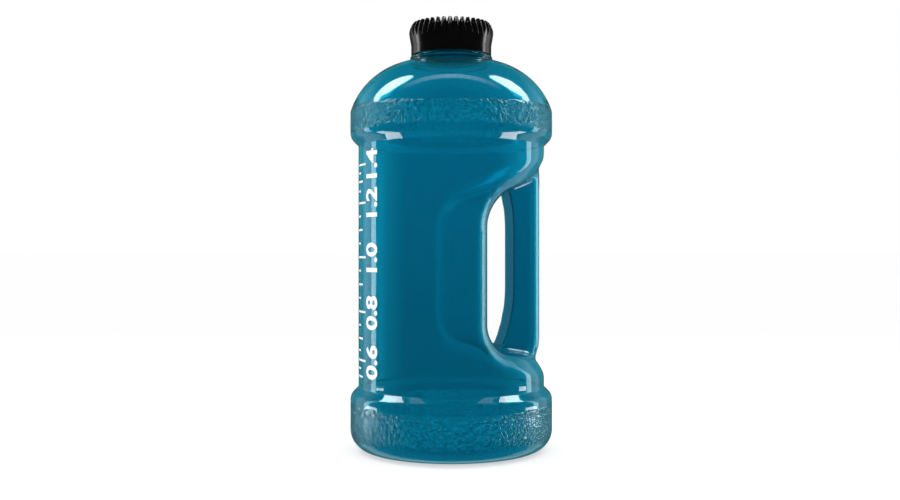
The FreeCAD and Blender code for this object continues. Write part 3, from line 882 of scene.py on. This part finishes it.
def make_cap():
    """Turned inside and crown, with the fluted outside between them."""
    outline = cap_outline()
    seam = np.argmax((outline[:, 0] > CAP_SKIRT - 0.2) & (outline[:, 1] > FLUTE_FROM))
    in_dish = (outline[:, 1] < FLUTE_FLOOR) & (outline[:, 0] < CAP_DISH + 0.4)
    floor = np.argmax(in_dish & (np.arange(len(outline)) > seam))
    skin = Skin()
    ring = skin.turn(outline[:seam], CAP_COLUMNS, bore_thread)
    columns = FLUTES * FLUTE_COLUMNS
    turn = 2 * math.pi * np.arange(columns) / columns
    rows = np.stack([fluted_ring(r, z, turn) for r, z in outline[seam:floor]])
    along = np.gradient(rows, axis=0)
    around = np.roll(rows, -1, axis=1) - np.roll(rows, 1, axis=1)
    normals = np.cross(around, along)
    sizes = np.linalg.norm(normals, axis=2, keepdims=True)
    normals = np.where(sizes > 100 * TINY, normals / np.maximum(sizes, TINY), np.array([0, 0, 1.0]))
    for row, row_normals in zip(rows, normals):
        fluted = skin.add(row, row_normals)
        skin.bridge(ring, fluted)
        ring = fluted
    skin.turn(outline[floor:], CAP_COLUMNS, None, ring)
    return skin.finish("cap_cover", "cap", "cap_shell", black_plastic())


def make_liner():
    """A disc with the lip's ring pressed into its underside."""
    low, high, wide = DISC_LOW[2], DISC_HIGH[2], DISC_HIGH[0]
    pressed = low + PRESS_DEPTH
    path = soften([(0, low, 0), (PRESS_IN[0], low, 0.4), (PRESS_IN[1], pressed, 0.4),
                   (PRESS_OUT[0], pressed, 0.4), (PRESS_OUT[1], low, 0.1), (wide, low, 0.35),
                   (wide, high, 0.35), (0, high, 0)], DISC_STEP)
    skin = Skin()
    skin.turn(path, DISC_COLUMNS)
    return skin.finish("sealing_disc", "disc", "cap_liner", soft_liner())


# ------------------------------------------------------------------ printed scale

def cad_marks(tolerance=0.02):
    """Low edge, high edge, first angle and last angle of every mark of the CAD scale."""
    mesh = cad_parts["printed_scale"].data
    spots = np.array([v.co for v in mesh.vertices]) / MM
    levels = np.unique(np.round(spots[:, 2], 2))
    found = []
    for low, high in zip(levels[::2], levels[1::2]):
        there = (spots[:, 2] > low - tolerance) & (spots[:, 2] < high + tolerance)
        angle = np.arctan2(spots[there, 1], spots[there, 0]) % (2 * math.pi)
        found.append((low, high, angle.min(), angle.max()))
    return found


def numeral(text):
    """Flat mesh of a number from the built-in typeface, centred, in millimetres."""
    curve = bpy.data.curves.new("numeral", "FONT")
    curve.body = text
    curve.size = NUMERAL_SIZE
    curve.align_x = "CENTER"
    curve.align_y = "CENTER"
    curve.resolution_u = 6
    curve.offset = NUMERAL_BOLD * NUMERAL_SIZE
    holder = bpy.data.objects.new("numeral", curve)
    bpy.context.scene.collection.objects.link(holder)
    bpy.context.view_layer.update()
    flat = bpy.data.meshes.new_from_object(holder)
    bpy.data.objects.remove(holder)
    bpy.data.curves.remove(curve)
    return flat


def draw_mark(solid, mark):
    """A mark laid out flat: x runs around the body and y up it."""
    low, high, first, last = mark
    count = max(2, math.ceil(math.degrees(last - first)))
    angles = np.linspace(first, last, count + 1)
    bottom = [solid.verts.new((a * INK_OUT, low, 0)) for a in angles]
    top = [solid.verts.new((a * INK_OUT, high, 0)) for a in angles]
    for i in range(count):
        solid.faces.new((bottom[i], bottom[i + 1], top[i + 1], top[i]))


def draw_numeral(solid, text, mark):
    """A number laid out flat beside its mark, reading upwards."""
    low, high, _, last = mark
    flat = numeral(text)
    spots = np.array([v.co for v in flat.vertices])
    middle = (spots.max(axis=0) + spots.min(axis=0)) / 2
    height = (low + high) / 2
    across = (last + NUMERAL_GAP) * INK_OUT
    verts = [solid.verts.new((across - (y - middle[1]), height + (x - middle[0]), 0)) for x, y, _ in spots]
    for face in flat.polygons:
        solid.faces.new([verts[i] for i in face.vertices])
    bpy.data.meshes.remove(flat)


def bend_round_body(solid):
    """Cuts the flat print into strips, thickens it and wraps it around the body, in metres."""
    for line in np.arange(PRINT_FROM, PRINT_TO, PRINT_STRIP):
        geometry = solid.verts[:] + solid.edges[:] + solid.faces[:]
        bmesh.ops.bisect_plane(solid, geom=geometry, plane_co=(math.radians(line) * INK_OUT, 0, 0),
                               plane_no=(1, 0, 0))
    bmesh.ops.remove_doubles(solid, verts=solid.verts, dist=0.002)
    bmesh.ops.recalc_face_normals(solid, faces=solid.faces)
    for face in solid.faces:
        if face.normal.z < 0:
            face.normal_flip()
    raised = bmesh.ops.extrude_face_region(solid, geom=solid.faces[:])
    top = {item for item in raised["geom"] if isinstance(item, bmesh.types.BMVert)}
    for vert in solid.verts:
        radius = INK_OUT if vert in top else INK_IN
        angle = vert.co.x / INK_OUT
        vert.co = Vector((radius * math.cos(angle), radius * math.sin(angle), vert.co.y)) * MM
    bmesh.ops.recalc_face_normals(solid, faces=solid.faces)


def make_print():
    """The CAD scale's marks again, with a number beside each long one."""
    solid = bmesh.new()
    marks = cad_marks()
    for mark in marks:
        draw_mark(solid, mark)
    long_marks = [mark for mark in marks if mark[3] - mark[2] > LONG_MARK]
    for number, mark in enumerate(long_marks):
        draw_numeral(solid, f"{FIRST_LITRES + LITRES_STEP * number:.1f}", mark)
    bend_round_body(solid)
    mesh = bpy.data.meshes.new("volume_scale")
    solid.to_mesh(mesh)
    solid.free()
    mesh.materials.append(white_ink())
    piece = bpy.data.objects.new("volume_scale", mesh)
    bpy.context.scene.collection.objects.link(piece)
    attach(piece, "jug")
    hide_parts("printed_scale")
    return piece


# ------------------------------------------------------------------ studio, in metres

SIGHT = (0.2924, 0.9563, 0.0)
RIGHT = Vector((SIGHT[1], -SIGHT[0], 0))
EYE_HEIGHT = 0.125
EYE_DISTANCE = 0.693
FLOOR_HALF = 40.0
LAMP_SPREAD = math.radians(80)

# The world's brightness by direction. For ahead, 1 is straight on past the jug and -1 is behind the camera.
# For up, 1 is overhead. Reflections see a bright sheet over a range of directions and near black elsewhere.
# The THROUGH rows give a range and the brightness at its two ends, for what shows through the plastic.
SHEET_START = (0.34, 0.42)
SHEET_END = (0.66, 0.78)
SHEET_REST = 0.1
SHEET_TOP = (0.30, 0.62)
MIRRORED = (0.012, 0.8)
THROUGH_AHEAD = (-0.4, 0.6, 0.42, 1.0)
THROUGH_UP = (-0.12, 0.10, 0.82, 1.2)


def pale_floor():
    """A wide plain floor, which neither reflects in the jug nor shows through it."""
    made, tree, shader = material("pale_floor")
    cover = clouds(tree, object_place(tree), scale=6.0, detail=5.0).outputs["Fac"]
    sheen = spread(tree, cover, *MIDDLE, to_low=0.45, to_high=0.55)
    tree.links.new(sheen, shader.inputs["Roughness"])
    shader.inputs["Base Color"].default_value = (0.44, 0.44, 0.44, 1)
    shader.inputs["Emission Color"].default_value = (1, 1, 1, 1)
    shader.inputs["Emission Strength"].default_value = 0.55
    shader.inputs["Specular IOR Level"].default_value = 0.0
    corners = [(x * FLOOR_HALF, y * FLOOR_HALF, 0) for x, y in ((-1, -1), (1, -1), (1, 1), (-1, 1))]
    mesh = bpy.data.meshes.new("floor")
    mesh.from_pydata(corners, [], [(0, 1, 2, 3)])
    mesh.materials.append(made)
    floor = bpy.data.objects.new("floor", mesh)
    bpy.context.scene.collection.objects.link(floor)
    floor.visible_glossy = False
    floor.visible_transmission = False


def surroundings():
    """White all round, darker in reflections and, towards the camera and the floor, through the plastic."""
    world = bpy.data.worlds.new("studio")
    world.use_nodes = True
    tree = world.node_tree
    white = tree.nodes["Background"]
    white.inputs["Color"].default_value = (1, 1, 1, 1)
    white.inputs["Strength"].default_value = 1.0
    heading = add_node(tree, "ShaderNodeTexCoord").outputs["Generated"]
    ahead = move(tree, "DOT_PRODUCT", heading, SIGHT).outputs["Value"]
    up = height_of(tree, heading)
    sides = combine(tree, "MULTIPLY", spread(tree, ahead, *SHEET_START, 0.0, 1.0),
                    spread(tree, ahead, *SHEET_END, 1.0, SHEET_REST))
    sheet = combine(tree, "MULTIPLY", sides, spread(tree, up, *SHEET_TOP, 1.0, 0.0))
    mirrored = add_node(tree, "ShaderNodeBackground", {"Strength": spread(tree, sheet, 0.0, 1.0, *MIRRORED)})
    seen = combine(tree, "MULTIPLY", spread(tree, ahead, *THROUGH_AHEAD), spread(tree, up, *THROUGH_UP))
    through = add_node(tree, "ShaderNodeBackground", {"Strength": seen})
    path = add_node(tree, "ShaderNodeLightPath")
    bounced = add_node(tree, "ShaderNodeMixShader", {"Fac": path.outputs["Is Glossy Ray"],
                                                     1: white.outputs[0], 2: mirrored.outputs[0]})
    mix = add_node(tree, "ShaderNodeMixShader", {"Fac": path.outputs["Is Transmission Ray"],
                                                 1: bounced.outputs[0], 2: through.outputs[0]})
    tree.links.new(mix.outputs[0], tree.nodes["World Output"].inputs["Surface"])
    bpy.context.scene.world = world


def beside(right, past, up):
    """A place so far to the right of the jug, past it as the camera sees it, and up."""
    return RIGHT * right + Vector(SIGHT) * past + Vector((0, 0, up))


def softbox(name, place, aim, width, height, power, across=None):
    """An area light whose width runs level, or along across where one is given."""
    light = bpy.data.lights.new(name, "AREA")
    light.shape = "RECTANGLE"
    light.size = width
    light.size_y = height
    light.energy = power
    light.spread = LAMP_SPREAD
    lamp = bpy.data.objects.new(name, light)
    out = (place - Vector(aim)).normalized()
    side = Vector(across or (-out.y, out.x, 0)).normalized()
    turned = Matrix((side, out.cross(side), out)).transposed()
    lamp.matrix_world = Matrix.LocRotScale(place, turned, None)
    lamp.visible_camera = False
    bpy.context.scene.collection.objects.link(lamp)
    return lamp


def lights():
    """On either side a tall box, a high round lamp and a low card that shines up; overhead, a long strip."""
    for name, way in (("left", -1), ("right", 1)):
        place = beside(1.05 * way, past=0.331, up=0.45)
        softbox(name + "_box", place, aim=(0, 0, 0.45), width=0.19, height=1.3, power=0.43)
        place = beside(0.68 * way, past=0.187, up=0.956)
        lamp = softbox(name + "_lamp", place, aim=(0, 0, 0.12), width=0.30, height=0.66, power=0.95)
        lamp.data.shape = "ELLIPSE"
        place = beside(0.26 * way, past=0, up=0.002)
        overhead = place + Vector((0, 0, 1))
        card = softbox(name + "_card", place, overhead, width=0.22, height=0.08, power=0.40, across=RIGHT)
        card.visible_diffuse = False
        card.visible_transmission = False
        card.data.spread = math.pi
    place = beside(0, past=-0.12, up=1.3)
    softbox("overhead_strip", place, aim=(0, -0.01, 0.2), width=2.2, height=0.16, power=0.4, across=RIGHT)


def camera():
    """A level camera at half the jug's height, where the photograph's stood."""
    lens = bpy.data.cameras.new("photo_camera")
    lens.lens = 44.0
    lens.sensor_width = 36.0
    lens.shift_x = -0.0014
    lens.clip_start = 0.01
    eye = bpy.data.objects.new("photo_camera", lens)
    sight = Vector(SIGHT)
    eye.location = Vector((0, 0, EYE_HEIGHT)) - sight * EYE_DISTANCE
    eye.rotation_euler = sight.to_track_quat("-Z", "Y").to_euler()
    bpy.context.scene.collection.objects.link(eye)
    bpy.context.scene.camera = eye


camera()
surroundings()
lights()
pale_floor()
bpy.context.scene.view_settings.view_transform = "Standard"
noise.seed_set(PEBBLE_SEED)
make_bottle()
make_cap()
make_liner()
make_print()
